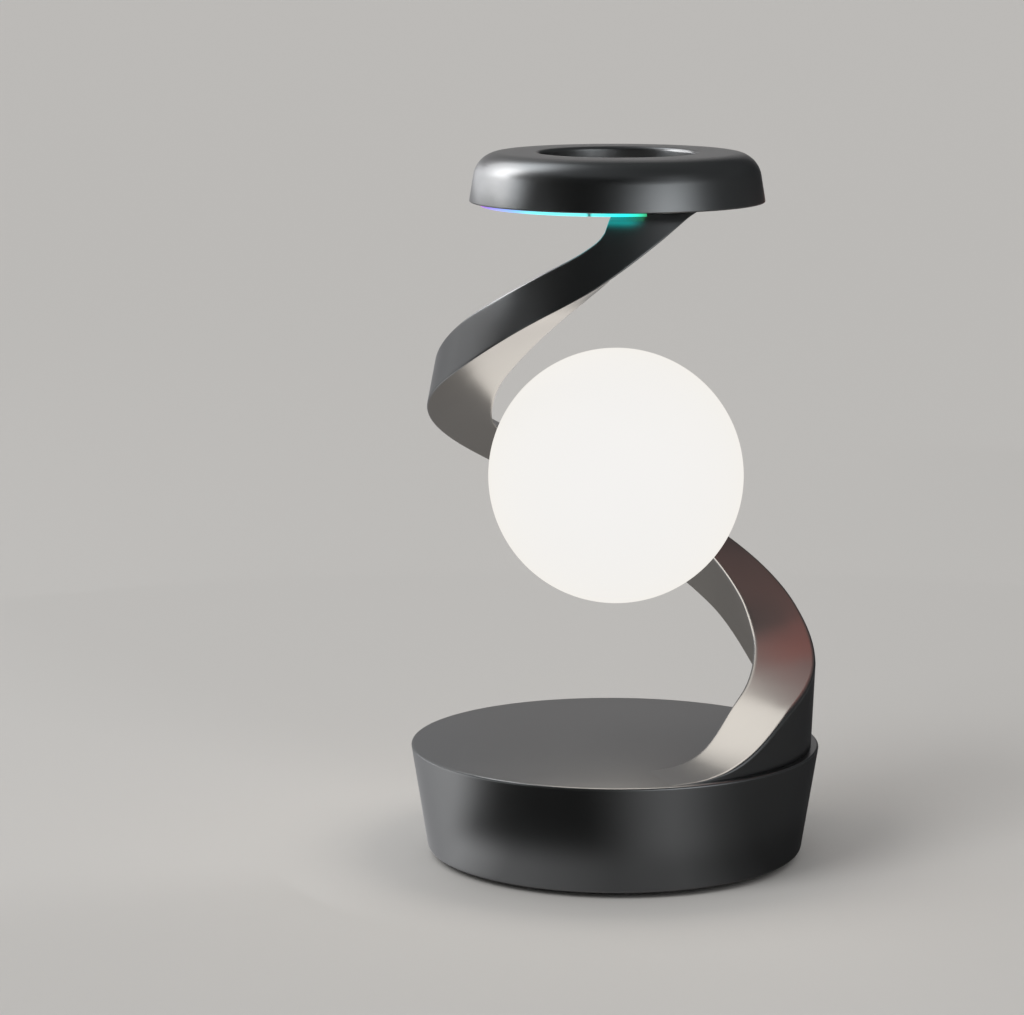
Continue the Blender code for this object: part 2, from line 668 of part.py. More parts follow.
def make_head():
    wall = HEAD_WALL
    profile = rounded(
        (
            (HOLE_RADIUS, head_top, HOLE_ROUND),
            (HEAD_TOP_RADIUS, head_top, HEAD_ROUND),
            (HEAD_RADIUS, head_bottom),
            (HEAD_RADIUS - wall, head_bottom),
            (HEAD_TOP_RADIUS - wall, head_top - wall, HEAD_ROUND - wall),
            (HOLE_RADIUS + wall, head_top - wall),
            (HOLE_RADIUS + wall, head_bottom),
            (HOLE_RADIUS, head_bottom),
        ),
        steps=6,
    )
    cover = turned("head_cover", profile, graphite, closed=True)
    posts = [
        post("cover_post", HEAD_POST_RADIUS, angle, plate_middle, light_board_top + GAP, head_top - wall / 2)
        for angle in HEAD_SCREW_ANGLES
    ]
    cover = join(cover, posts)
    seat = head_bottom + SCREW_HEAD_HEIGHT
    cut(cover, [screw("cover_bore", plate_middle, a, seat, True, hole=True) for a in HEAD_SCREW_ANGLES])

    edge = arc_points(plate_outer, GUIDE_FROM, GUIDE_TO + 1)
    edge += arc_points(guide_outer, GUIDE_TO + 1, GUIDE_FROM + 359)
    wire_hole = circle_points(channel_radius, SMALL_STEPS, polar(plate_middle, WIRE_TO)[:2])
    plate = plate_of_outlines("head_plate", [edge, circle_points(plate_inner), wire_hole], head_bottom, PLATE_THICKNESS,
                              graphite)
    stands = [
        post("plate_stand", HEAD_POST_RADIUS, angle, plate_middle, head_bottom + SCREW_HEAD_HEIGHT,
             light_board_bottom - GAP)
        for angle in HEAD_SCREW_ANGLES
    ]
    plate = join(plate, stands)
    holes = [screw("plate_hole", plate_middle, a, seat, True, hole=True) for a in HEAD_SCREW_ANGLES]
    holes += [screw("plate_hole", plate_middle, a, plate_top, False, hole=True) for a in ARM_HEAD_SCREWS]
    cut(plate, holes)

    edge = arc_points(guide_outer, GUIDE_FROM, GUIDE_TO) + arc_points(guide_inner, GUIDE_TO, GUIDE_FROM)
    plate_of_outlines("light_guide", [edge], guide_bottom, GUIDE_HEIGHT, light_plastic)
    holes = [
        circle_points(SCREW_SHANK_RADIUS + GAP, SMALL_STEPS, polar(plate_middle, a)[:2]) for a in HEAD_SCREW_ANGLES
    ]
    outlines = [circle_points(guide_outer), circle_points(plate_inner)] + holes
    plate_of_outlines("light_board", outlines, light_board_bottom, LIGHT_BOARD_THICKNESS, circuit_white)
    for number, angle in enumerate(HEAD_SCREW_ANGLES, 1):
        screw(f"head_screw_{number}", plate_middle, angle, seat - GAP, True)
    for number, angle in enumerate(ARM_HEAD_SCREWS, 1):
        screw(f"arm_head_screw_{number}", plate_middle, angle, plate_top + GAP, False)


def sphere_profile(radius, start, end, steps):
    """Points of a sphere's outline from one polar angle to another, in degrees down from the top."""
    angles = np.radians(np.linspace(start, end, steps + 1))
    return [(radius * math.sin(a), radius * math.cos(a)) for a in angles]


def make_globe():
    inner = GLOBE_RADIUS - GLOBE_WALL
    outside = sphere_profile(GLOBE_RADIUS, 0, 180 - math.degrees(math.asin(opening_radius / GLOBE_RADIUS)), 16)
    inside = sphere_profile(inner, 180 - math.degrees(math.asin(opening_radius / inner)), 0, 10)
    pieces = [turned("globe_shade", outside + inside, opal)]
    rim = math.sqrt(GLOBE_RADIUS**2 - cap_radius**2)
    seat = math.sqrt(inner**2 - cap_radius**2)
    floor = CUP_FLOOR - GLOBE_RADIUS
    cup_inner = cap_radius - 2 * CUP_WALL
    cup_outer = cup_inner + CUP_WALL
    cup_top = floor + CUP_DEPTH
    cap = [(0, floor), (cup_inner, floor), (cup_inner, cup_top), (cup_outer, cup_top), (cup_outer, -seat),
           (cap_radius, -seat), (cap_radius, -rim)]
    low = 180 - math.degrees(math.asin(cap_radius / GLOBE_RADIUS))
    cap += sphere_profile(GLOBE_RADIUS, low, 180, 5)[1:]
    pieces.append(turned("globe_cap", cap, opal, steps=ROUND_STEPS))
    magnet_bottom = floor + GAP
    magnet_top = magnet_bottom + FLOAT_MAGNET_HEIGHT
    coil_bottom = magnet_top + GAP
    board_low = cup_top + GAP
    board_high = board_low + LIGHT_BOARD_THICKNESS
    pieces.append(disc("float_magnet", cup_inner - GAP, magnet_bottom, magnet_top, chrome, steps=SMALL_STEPS * 2))
    pieces.append(tube_of_sizes("receiver_coil", cup_inner - GAP - RECEIVE_COIL_WIDTH, cup_inner - GAP, coil_bottom,
                                coil_bottom + RECEIVE_COIL_HEIGHT, copper, steps=SMALL_STEPS * 2))
    pieces.append(disc("lamp_board", cup_outer, board_low, board_high, circuit_white, steps=SMALL_STEPS * 2))
    dome = [(x, board_high + GAP + y) for x, y in sphere_profile(DOME_RADIUS, 0, 90, 6)]
    pieces.append(turned("lamp_dome", dome + [(0, board_high + GAP)], light_plastic, steps=SMALL_STEPS * 2))
    spin = bpy.data.objects.new("globe_spin", None)
    spin.location.z = globe_centre
    lamp.objects.link(spin)
    for piece in pieces:
        piece.parent = spin


for old in list(bpy.data.objects):
    bpy.data.objects.remove(old)
lamp = collection("levitating_lamp")
cutters = collection("cutters")
graphite = material("graphite_metal", (0.12, 0.12, 0.125), 0.38, 0.85)
black_plastic = material("black_plastic", (0.03, 0.03, 0.03), 0.5)
rubber = material("rubber", (0.02, 0.02, 0.02), 0.85)
steel = material("steel", (0.6, 0.6, 0.6), 0.3, 1.0)
chrome = material("nickel_plate", (0.7, 0.7, 0.68), 0.15, 1.0)
copper = material("copper_wire", (0.7, 0.32, 0.12), 0.35, 1.0)
ferrite = material("ferrite", (0.08, 0.08, 0.085), 0.7)
circuit_green = material("circuit_board", (0.02, 0.2, 0.08), 0.5)
circuit_white = material("light_board", (0.8, 0.8, 0.8), 0.5)
light_plastic = material("light_guide", (0.2, 0.9, 0.9), 0.3, glow=1.0)
opal = material("opal_globe", (1.0, 0.97, 0.9), 0.4, glow=1.0)
bottom_screw_seat = shell_bottom + SCREW_HEAD_HEIGHT

make_base()
make_inlet()
make_module()
make_arm()
make_wires()
make_head()
make_globe()
for cutter in cutters.objects:
    cutter.hide_render = True
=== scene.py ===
"""The levitating lamp, dressed: satin graphite metal, a coloured light strip and a glowing globe.

It stands on a pale studio floor. Lengths are in metres, in the frame of the CAD part: +Z up, -Y the front.
Angles are in degrees, counter-clockwise from +X.
"""

import json
import math

import bmesh
import bpy
import numpy as np
from mathutils import Matrix, Vector


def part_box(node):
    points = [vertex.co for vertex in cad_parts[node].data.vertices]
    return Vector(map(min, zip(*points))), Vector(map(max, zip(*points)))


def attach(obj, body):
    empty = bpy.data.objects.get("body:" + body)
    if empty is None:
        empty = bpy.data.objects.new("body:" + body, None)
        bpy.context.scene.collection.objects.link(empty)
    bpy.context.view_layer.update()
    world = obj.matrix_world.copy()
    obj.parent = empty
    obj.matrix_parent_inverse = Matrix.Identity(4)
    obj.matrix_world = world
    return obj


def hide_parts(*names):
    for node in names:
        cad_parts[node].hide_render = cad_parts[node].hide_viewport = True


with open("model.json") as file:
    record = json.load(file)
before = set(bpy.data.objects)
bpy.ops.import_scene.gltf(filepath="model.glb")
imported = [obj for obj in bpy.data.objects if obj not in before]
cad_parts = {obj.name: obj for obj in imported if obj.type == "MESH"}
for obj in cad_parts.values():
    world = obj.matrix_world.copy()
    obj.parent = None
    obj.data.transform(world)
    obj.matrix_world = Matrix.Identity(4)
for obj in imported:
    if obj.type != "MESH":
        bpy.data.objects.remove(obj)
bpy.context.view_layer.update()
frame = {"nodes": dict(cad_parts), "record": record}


def low(node_name, axis):
    """The lowest coordinate of a CAD node along an axis, to the hundredth of a millimetre."""
    return round(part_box(node_name)[0]["XYZ".index(axis)], 5)


def high(node_name, axis):
    """The highest coordinate of a CAD node along an axis, to the hundredth of a millimetre."""
    return round(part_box(node_name)[1]["XYZ".index(axis)], 5)


# Clearances
GAP = 0.0003
SEAM = 0.0002
GLOBE_CLEARANCE = 0.003

# Base
DECK_TOP = high("base_shell", "Z")
BASE_FLOOR = low("base_shell", "Z")
BASE_TOP_RADIUS = 0.065
BASE_BOTTOM_RADIUS = 0.0595
BASE_WALL = 0.0025
BASE_RIM_ROUND = 0.0007
BASE_FLOOR_ROUND = 0.0025
BOTTOM_THICKNESS = 0.0025
FOOT_HEIGHT = high("foot_1", "Z")
FOOT_RADIUS = high("foot_2", "X")
FOOT_CIRCLE = high("foot_1", "X") - FOOT_RADIUS
FOOT_ROUND = 0.0003
FOOT_ANGLES = (0, 90, 180, 270)

# Power inlet at the back of the base
INLET_LEVEL = (low("dc_inlet", "Z") + high("dc_inlet", "Z")) / 2
INLET_MOUTH = high("dc_inlet", "Y")
INLET_END = low("dc_inlet", "Y")
INLET_RADIUS = 0.0042
INLET_BORE_RADIUS = 0.0028
INLET_BORE_DEPTH = 0.008
INLET_PIN_RADIUS = 0.001
INLET_PIN_DEPTH = 0.002
INLET_ROUND = 0.0003

# Head
HEAD_BOTTOM = low("head_cover", "Z")
HEAD_TOP = high("head_cover", "Z")
HEAD_RADIUS = high("head_cover", "X")
HEAD_TOP_RADIUS = 0.0437
HEAD_WALL = 0.002
HEAD_ROUND = 0.0084
HEAD_EDGE_ROUND = 0.0004
HOLE_RADIUS = 0.0246
HOLE_ROUND = 0.0012
GUIDE_BOTTOM = low("light_guide", "Z")
GUIDE_TOP = high("light_guide", "Z")
GUIDE_OUTER = high("light_board", "X")
GUIDE_WIDTH = 0.0017
GUIDE_INNER = GUIDE_OUTER - GUIDE_WIDTH
GUIDE_ROUND = 0.0004
GUIDE_FROM, GUIDE_TO = 4, 282

# Screws
SCREW_NODES = ("plate_screw_1", "plate_screw_2", "plate_screw_3", "plate_screw_4",
               "head_screw_1", "head_screw_2", "head_screw_3")
SCREW_HEAD_RADIUS = 0.0025
SCREW_HEAD_HEIGHT = 0.0013
SCREW_SHANK_RADIUS = 0.0013
SCREW_LENGTH = 0.006
SCREW_ROUND = 0.0003
SOCKET_RADIUS = 0.0014
SOCKET_DEPTH = 0.0009
SOCKET_SIDES = 6

# Globe
GLOBE_RADIUS = 0.0403
GLOBE_CENTRE = high("globe_shade", "Z") - GLOBE_RADIUS
GLOBE_WALL = 0.0016
CAP_RADIUS = high("globe_cap", "X")
OPENING_RADIUS = CAP_RADIUS + GAP
CUP_OUTER = 0.01805
CUP_WALL = 0.0014
CUP_INNER = CUP_OUTER - CUP_WALL
CUP_DEPTH = 0.0105
CUP_TOP = high("globe_cap", "Z")
CUP_FLOOR = CUP_TOP - CUP_DEPTH

# Arm
ARM_RISE = HEAD_BOTTOM - DECK_TOP
ARM_BEVELS = (0.0012, 0.0006, 0.0006, 0.0012, 0.0006)
MAX_BEVEL = 0.25
ARM_TIP = 0.00005
ARM_SINK = 0.0002
ARM_FOOT_LEAN = 0.0013
ARM_HEAD_INSET = 0.001
ARM_HEAD_RADIUS = GUIDE_INNER - ARM_HEAD_INSET
ARM_INSET = 0.0012
BARREL_RADIUS = BASE_TOP_RADIUS - ARM_INSET
BARREL_HEIGHT = 0.038
BARREL_POWER = 2.65
GLOBE_SPACE = GLOBE_RADIUS + GLOBE_CLEARANCE
PLATE_INNER = HOLE_RADIUS + HEAD_WALL + GAP
FOOT_FILLED_TO, FOOT_OPEN_FROM = -6, 22
HEAD_OPEN_TO, HEAD_FILLED_FROM = 262, 272
ARM_FILL = 0.3
SIDE_SHARES = (0.05, 0.5, 0.95)

# Facets
ROUND_STEPS = 192
SMALL_STEPS = 48
GLOBE_STEPS = 72
CAP_STEPS = 24
BEVEL_STEPS = 4
ARM_STEP = 1.5
CARD_STEP = 5
SMOOTH_DEGREES = 40
ARM_SMOOTH_DEGREES = 75
MERGE_DISTANCE = 1e-7
SAME_POINT = 1e-8

# Stations of the spiral: angle, then the heights of the top, bottom and inner edges as shares of the arm's
# rise, then where the inner edge lies, as a share of the way out from the globe to the arm's widest circle,
# or, below zero, of the way in from the globe's room to the inner edge of the head's plate.
ARM_STATIONS = (
    (-78, 0.000, 0.000, 0.000, -0.05),
    (-66, 0.004, 0.000, 0.005, -0.05),
    (-58, 0.013, 0.000, 0.014, -0.05),
    (-50, 0.032, 0.000, 0.031, -0.05),
    (-30, 0.104, 0.000, 0.099, -0.04),
    (-15, 0.136, 0.000, 0.129, -0.02),
    (0, 0.164, 0.000, 0.158, 0.02),
    (15, 0.206, 0.000, 0.192, 0.09),
    (30, 0.257, 0.020, 0.250, 0.14),
    (60, 0.355, 0.195, 0.354, 0.17),
    (90, 0.443, 0.330, 0.426, 0.20),
    (120, 0.531, 0.446, 0.493, 0.15),
    (150, 0.623, 0.538, 0.563, -0.02),
    (180, 0.716, 0.625, 0.636, -0.33),
    (210, 0.808, 0.710, 0.712, -0.47),
    (240, 0.890, 0.804, 0.800, -0.60),
    (262, 0.951, 0.867, 0.862, -0.69),
    (265, 0.967, 0.877, 0.871, -0.72),
    (268, 1.000, 0.887, 0.881, -0.75),
    (285, 1.000, 0.942, 0.938, -0.87),
    (302, 1.000, 0.988, 0.986, -0.98),
    (307, 1.000, 0.997, 0.996, -1.00),
)

# Colours of the light strip by angle, from -180 to 180
STRIP_COLOURS = (
    (-180, (0.60, 0.05, 0.40)),
    (-162, (0.25, 0.10, 0.60)),
    (-150, (0.28, 0.28, 0.80)),
    (-138, (0.22, 0.42, 0.95)),
    (-125, (0.18, 0.80, 0.92)),
    (-101.9, (0.16, 0.84, 0.84)),
    (-101.2, (0.01, 0.03, 0.03)),
    (-100.6, (0.01, 0.03, 0.03)),
    (-99.9, (0.12, 0.84, 0.80)),
    (-88, (0.02, 0.88, 0.84)),
    (-81, (0.03, 0.62, 0.40)),
    (-78, (0.03, 0.30, 0.10)),
    (0, (0.80, 0.06, 0.03)),
    (45, (0.85, 0.10, 0.03)),
    (90, (0.90, 0.28, 0.03)),
    (135, (0.85, 0.07, 0.06)),
    (180, (0.70, 0.05, 0.30)),
)


# Shapes
def rounded(corners, steps=5):
    """The points of an outline from corners (x, y) or (x, y, round): a round turns its corner into an arc."""
    points = []
    for index, corner in enumerate(corners):
        here = Vector(corner[:2])
        if len(corner) == 2:
            points.append(here)
            continue
        before = (Vector(corners[index - 1][:2]) - here).normalized()
        after = (Vector(corners[(index + 1) % len(corners)][:2]) - here).normalized()
        half = before.angle(after) / 2
        centre = here + (before + after).normalized() * corner[2] / math.sin(half)
        start = here + before * corner[2] / math.tan(half) - centre
        sweep = start.angle_signed(here + after * corner[2] / math.tan(half) - centre)
        for step in range(steps + 1):
            points.append(centre + Matrix.Rotation(-sweep * step / steps, 2) @ start)
    return points


def polar(distance, angle, height):
    """A point by its distance from the axis, its angle in radians and its height."""
    return Vector((distance * math.cos(angle), distance * math.sin(angle), height))


def add_piece(name, shape, look, body, nodes, smooth_degrees=SMOOTH_DEGREES):
    """Makes a visible piece from its shape, on its body, in place of its CAD nodes."""
    mesh = bpy.data.meshes.new(name)
    bmesh.ops.remove_doubles(shape, verts=shape.verts, dist=MERGE_DISTANCE)
    bmesh.ops.recalc_face_normals(shape, faces=shape.faces)
    shape.to_mesh(mesh)
    shape.free()
    mesh.shade_smooth()
    mesh.set_sharp_from_angle(angle=math.radians(smooth_degrees))
    mesh.materials.append(look)
    piece = bpy.data.objects.new(name, mesh)
    bpy.context.scene.collection.objects.link(piece)
    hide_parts(*nodes)
    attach(piece, body)
    return piece


def grid(shape, rows, closed_rows=True, closed_columns=False):
    """Faces between rows of points. A row may close on itself, and the last row may join the first."""
    verts = [[shape.verts.new(point) for point in row] for row in rows]
    pairs = list(zip(verts, verts[1:]))
    if closed_columns:
        pairs.append((verts[-1], verts[0]))
    for row, following in pairs:
        count = len(row) if closed_rows else len(row) - 1
        for i in range(count):
            j = (i + 1) % len(row)
            corners = []
            for vert in (row[i], row[j], following[j], following[i]):
                if not any((vert.co - other.co).length < SAME_POINT for other in corners):
                    corners.append(vert)
            if len(corners) > 2:
                shape.faces.new(corners)
    return verts


def turn(shape, profile, steps=ROUND_STEPS, closed=False, at=None):
    """A profile of (radius, height) turned round Z, and moved by a matrix."""
    rows = []
    for step in range(steps):
        rows.append([polar(radius, 2 * math.pi * step / steps, height) for radius, height in profile])
    if at:
        rows = [[at @ point for point in row] for row in rows]
    grid(shape, rows, closed_rows=closed, closed_columns=True)


def turned(name, profile, look, body, nodes, steps=ROUND_STEPS, closed=False, at=None):
    """A visible piece of revolution."""
    shape = bmesh.new()
    turn(shape, profile, steps, closed, at)
    return add_piece(name, shape, look, body, nodes)


# Materials
def new_material(name):
    """A new material, its nodes and its main shader."""
    made = bpy.data.materials.new(name)
    made.use_nodes = True
    return made, made.node_tree, made.node_tree.nodes["Principled BSDF"]


def node(tree, kind, inputs=(), **settings):
    """Adds a node. An input is either a value or the output of another node, which is linked to it."""
    made = tree.nodes.new(kind)
    for key, value in settings.items():
        setattr(made, key, value)
    for key, value in dict(inputs).items():
        if isinstance(value, bpy.types.NodeSocket):
            tree.links.new(value, made.inputs[key])
        else:
            made.inputs[key].default_value = value
    return made


def noise(tree, scale, detail=3.0, stretch=None):
    """Noise in the piece's own space, finer along an axis whose stretch is over 1."""
    where = node(tree, "ShaderNodeTexCoord").outputs["Object"]
    if stretch:
        where = node(tree, "ShaderNodeMapping", {"Vector": where, "Scale": stretch}).outputs["Vector"]
    return node(tree, "ShaderNodeTexNoise", {"Vector": where, "Scale": scale, "Detail": detail})


def mixed(tree, share, first, second):
    """A colour between two, by a value from 0 to 1."""
    mix = node(tree, "ShaderNodeMix", data_type="RGBA")
    tree.links.new(share, mix.inputs["Factor"])
    mix.inputs["A"].default_value = (*first, 1)
    mix.inputs["B"].default_value = (*second, 1)
    return mix.outputs["Result"]


def spread(tree, share, first, second):
    """A number between two, by a value from 0 to 1."""
    scaled = node(tree, "ShaderNodeMapRange", {"Value": share, "To Min": first, "To Max": second})
    return scaled.outputs["Result"]


def bumped(tree, shader, height, strength, distance):
    """Gives a shader a fine relief, whose depth is the distance."""
    bump = node(tree, "ShaderNodeBump", {"Height": height, "Strength": strength, "Distance": distance})
    tree.links.new(bump.outputs["Normal"], shader.inputs["Normal"])


def angle_ramp(tree, side, ahead, stops):
    """Colours from (angle, colour) stops, -180 to 180 degrees, by the angle from ahead to the side."""
    angle = node(tree, "ShaderNodeMath", {0: side, 1: ahead}, operation="ARCTAN2").outputs[0]
    share = node(tree, "ShaderNodeMapRange", {"Value": angle, "From Min": -math.pi, "From Max": math.pi})
    ramp = node(tree, "ShaderNodeValToRGB", {"Fac": share.outputs["Result"]})
    elements = ramp.color_ramp.elements
    for index, (degrees, colour) in enumerate(stops):
        place = (degrees + 180) / 360
        element = elements[index] if index < 2 else elements.new(place)
        element.position = place
        element.color = colour
    return ramp


def finish_material(
    name, dark, pale, roughness, metallic=0.0, grain=900.0, bump=0.1, stretch=None, **sockets
):
    """A finish whose colour, roughness and fine relief vary with a grain."""
    made, tree, shader = new_material(name)
    fine = noise(tree, grain, stretch=stretch)
    tree.links.new(mixed(tree, fine.outputs["Fac"], dark, pale), shader.inputs["Base Color"])
    tree.links.new(spread(tree, fine.outputs["Fac"], *roughness), shader.inputs["Roughness"])
    shader.inputs["Metallic"].default_value = metallic
    for key, value in sockets.items():
        shader.inputs[key.replace("_", " ")].default_value = value
    bumped(tree, shader, fine.outputs["Fac"], bump, 0.00005)
    return made


def make_graphite():
    """Satin graphite metal: an even finish whose gloss drifts a little, over a very fine orange peel."""
    made, tree, shader = new_material("graphite_metal")
    cloud = noise(tree, 45.0, detail=4.0)
    peel = noise(tree, 900.0, detail=2.0)
    tree.links.new(mixed(tree, cloud.outputs["Fac"], (0.255, 0.258, 0.262), (0.285, 0.288, 0.292)),
                   shader.inputs["Base Color"])
    tree.links.new(spread(tree, cloud.outputs["Fac"], 0.27, 0.31), shader.inputs["Roughness"])
    shader.inputs["Metallic"].default_value = 1.0
    shader.inputs["Specular Tint"].default_value = (0.55, 0.55, 0.56, 1)
    bumped(tree, shader, peel.outputs["Fac"], 0.04, 0.00002)
    return made


def make_strip():
    """The diffuser of the light strip: its colour goes round with the angle."""
    made, tree, shader = new_material("strip_diffuser")
    where = node(tree, "ShaderNodeTexCoord").outputs["Object"]
    parts = node(tree, "ShaderNodeSeparateXYZ", {"Vector": where})
    stops = [(degrees, (*colour, 1)) for degrees, colour in STRIP_COLOURS]
    ramp = angle_ramp(tree, parts.outputs["Y"], parts.outputs["X"], stops)
    tree.links.new(ramp.outputs["Color"], shader.inputs["Base Color"])
    tree.links.new(ramp.outputs["Color"], shader.inputs["Emission Color"])
    shader.inputs["Emission Strength"].default_value = 1.1
    shader.inputs["Roughness"].default_value = 0.35
    return made


def make_opal():
    """Opal globe, lit from inside, a little warmer towards its outline."""
    made, tree, shader = new_material("opal_globe")
    cloud = noise(tree, 25.0, detail=2.0)
    edge = node(tree, "ShaderNodeLayerWeight", {"Blend": 0.25})
    colour = mixed(tree, edge.outputs["Facing"], (0.935, 0.925, 0.912), (0.95, 0.92, 0.86))
    tree.links.new(colour, shader.inputs["Emission Color"])
    shader.inputs["Emission Strength"].default_value = 0.9
    shader.inputs["Specular IOR Level"].default_value = 0.0
    tree.links.new(mixed(tree, cloud.outputs["Fac"], (0.02, 0.02, 0.02), (0.03, 0.03, 0.03)),
                   shader.inputs["Base Color"])
    shader.inputs["Roughness"].default_value = 0.5
    bumped(tree, shader, cloud.outputs["Fac"], 0.02, 0.0001)
    return made


def make_winding():
    """Enamelled copper wire in layers."""
    made, tree, shader = new_material("copper_winding")
    where = node(tree, "ShaderNodeTexCoord").outputs["Object"]
    wires = node(tree, "ShaderNodeTexWave", {"Vector": where, "Scale": 260.0, "Distortion": 0.4},
                 wave_type="BANDS", bands_direction="Z")
    tree.links.new(mixed(tree, wires.outputs["Fac"], (0.30, 0.09, 0.03), (0.75, 0.32, 0.12)),
                   shader.inputs["Base Color"])
    tree.links.new(spread(tree, wires.outputs["Fac"], 0.45, 0.28), shader.inputs["Roughness"])
    shader.inputs["Metallic"].default_value = 0.9
    bumped(tree, shader, wires.outputs["Fac"], 0.6, 0.0002)
    return made


def make_circuit(name, mask, track):
    """Solder mask with a pattern of copper tracks showing through."""
    made, tree, shader = new_material(name)
    where = node(tree, "ShaderNodeTexCoord").outputs["Object"]
    colours = {"Color1": (*mask, 1), "Color2": (*mask, 1), "Mortar": (*track, 1)}
    tracks = node(tree, "ShaderNodeTexBrick",
                  {"Vector": where, "Scale": 180.0, "Mortar Size": 0.06, **colours})
    tree.links.new(tracks.outputs["Color"], shader.inputs["Base Color"])
    tree.links.new(spread(tree, tracks.outputs["Fac"], 0.35, 0.5), shader.inputs["Roughness"])
    bumped(tree, shader, tracks.outputs["Fac"], 0.3, 0.00003)
    return made


graphite = make_graphite()
strip = make_strip()
opal = make_opal()
winding = make_winding()
circuit = make_circuit("circuit_green", (0.01, 0.13, 0.05), (0.03, 0.28, 0.10))
white_board = make_circuit("circuit_white", (0.75, 0.75, 0.73), (0.60, 0.58, 0.52))
black_plastic = finish_material(
    "moulded_black", (0.018, 0.018, 0.019), (0.035, 0.035, 0.036), (0.42, 0.58), bump=0.3)
rubber = finish_material(
    "black_rubber", (0.012, 0.012, 0.012), (0.025, 0.025, 0.025), (0.75, 0.92), grain=1500.0)
steel = finish_material(
    "zinc_steel", (0.45, 0.45, 0.46), (0.66, 0.66, 0.65), (0.24, 0.38), metallic=1.0, stretch=(1, 1, 12))
nickel = finish_material(
    "nickel_plate", (0.60, 0.59, 0.56), (0.72, 0.71, 0.68), (0.12, 0.2), metallic=1.0, grain=200.0)
ferrite = finish_material(
    "ferrite", (0.04, 0.04, 0.045), (0.09, 0.09, 0.095), (0.55, 0.75), metallic=0.2, grain=600.0)
diffuser = finish_material(
    "lamp_diffuser", (0.80, 0.78, 0.72), (0.90, 0.88, 0.82), (0.35, 0.5), grain=100.0,
    Emission_Color=(1.0, 0.95, 0.85, 1), Emission_Strength=0.9)


# The spiral arm
def eased(column, angle):
    """Reads one column of the stations at an angle, on a smooth curve that doesn't swing past its points."""
    turns = [row[0] for row in ARM_STATIONS]
    values = [row[column] for row in ARM_STATIONS]
    slopes = [(b - a) / (q - p) for a, b, p, q in zip(values, values[1:], turns, turns[1:])]
    tangents = [slopes[0]]
    tangents += [0.0 if a * b <= 0 else 2 * a * b / (a + b) for a, b in zip(slopes, slopes[1:])]
    tangents.append(slopes[-1])
    index = int(np.clip(np.searchsorted(turns, angle, side="right") - 1, 0, len(turns) - 2))
    width = turns[index + 1] - turns[index]
    t = (angle - turns[index]) / width
    return (
        values[index] * (1 + 2 * t) * (1 - t) ** 2
        + tangents[index] * width * t * (1 - t) ** 2
        + values[index + 1] * t * t * (3 - 2 * t)
        + tangents[index + 1] * width * t * t * (t - 1)
    )


def outer_radius(height):
    """How far out the arm's outer wall is at a height over the deck."""
    if height < BARREL_HEIGHT:
        return BARREL_RADIUS - ARM_FOOT_LEAN * (1 - height / BARREL_HEIGHT) ** 2
    share = (height - BARREL_HEIGHT) / (ARM_RISE - BARREL_HEIGHT)
    return BARREL_RADIUS - (BARREL_RADIUS - ARM_HEAD_RADIUS) * share**BARREL_POWER


def filled(start, end, angle):
    """Goes smoothly from 0 at the start angle to 1 at the end angle."""
    share = min(max((angle - start) / (end - start), 0.0), 1.0)
    return share * share * (3 - 2 * share)


def arm_section(angle):
    """The outline of the arm at an angle as (radius, height) points, with its five corners rounded."""
    top = max(eased(1, angle) * ARM_RISE, ARM_TIP)
    bottom = min(eased(2, angle) * ARM_RISE, ARM_RISE - ARM_TIP)
    inner = min(max(eased(3, angle) * ARM_RISE, ARM_TIP), ARM_RISE - ARM_TIP)
    share = eased(4, angle)
    reach = GLOBE_SPACE + share * (BARREL_RADIUS - GLOBE_SPACE if share > 0 else GLOBE_SPACE - PLATE_INNER)
    top, bottom = (Vector((outer_radius(height), height)) for height in (top, bottom))
    inner = Vector((reach, inner))
    foot_fill = filled(FOOT_OPEN_FROM, FOOT_FILLED_TO, angle)
    foot = bottom.lerp(inner, ARM_FILL).lerp(Vector((reach, 0)), foot_fill)
    head_fill = filled(HEAD_OPEN_TO, HEAD_FILLED_FROM, angle)
    end = top.lerp(inner, ARM_FILL).lerp(Vector((reach, ARM_RISE)), head_fill)
    corners = (top, bottom, foot, inner, end)
    outline = []
    for index, corner in enumerate(corners):
        before, after = corners[index - 1] - corner, corners[(index + 1) % len(corners)] - corner
        start = corner + before * min(ARM_BEVELS[index] / before.length, MAX_BEVEL)
        stop = corner + after * min(ARM_BEVELS[index] / after.length, MAX_BEVEL)
        for step in range(BEVEL_STEPS + 1):
            t = step / BEVEL_STEPS
            outline.append(start * (1 - t) ** 2 + corner * 2 * t * (1 - t) + stop * t**2)
        following = (index + 1) % len(corners)
        side_end = corners[following] - after * min(ARM_BEVELS[following] / after.length, MAX_BEVEL)
        outline += [stop.lerp(side_end, share) for share in SIDE_SHARES]
    return outline


def make_arm():
    """The spiral, from the base's deck to the head. Its foot goes a little way into the deck, and its top end
    stops level with the head's underside.
    """
    first, last = ARM_STATIONS[0][0], ARM_STATIONS[-1][0]
    sunk = DECK_TOP - ARM_SINK
    rise = 1 + ARM_SINK / ARM_RISE
    shape = bmesh.new()
    rows = []
    for angle in np.linspace(first, last, round((last - first) / ARM_STEP) + 1):
        section = arm_section(angle)
        rows.append([polar(point.x, math.radians(angle), sunk + point.y * rise) for point in section])
    verts = grid(shape, rows)
    shape.faces.new(verts[0])
    shape.faces.new(reversed(verts[-1]))
    add_piece("arm_casting", shape, graphite, "base", ("arm",), smooth_degrees=ARM_SMOOTH_DEGREES)


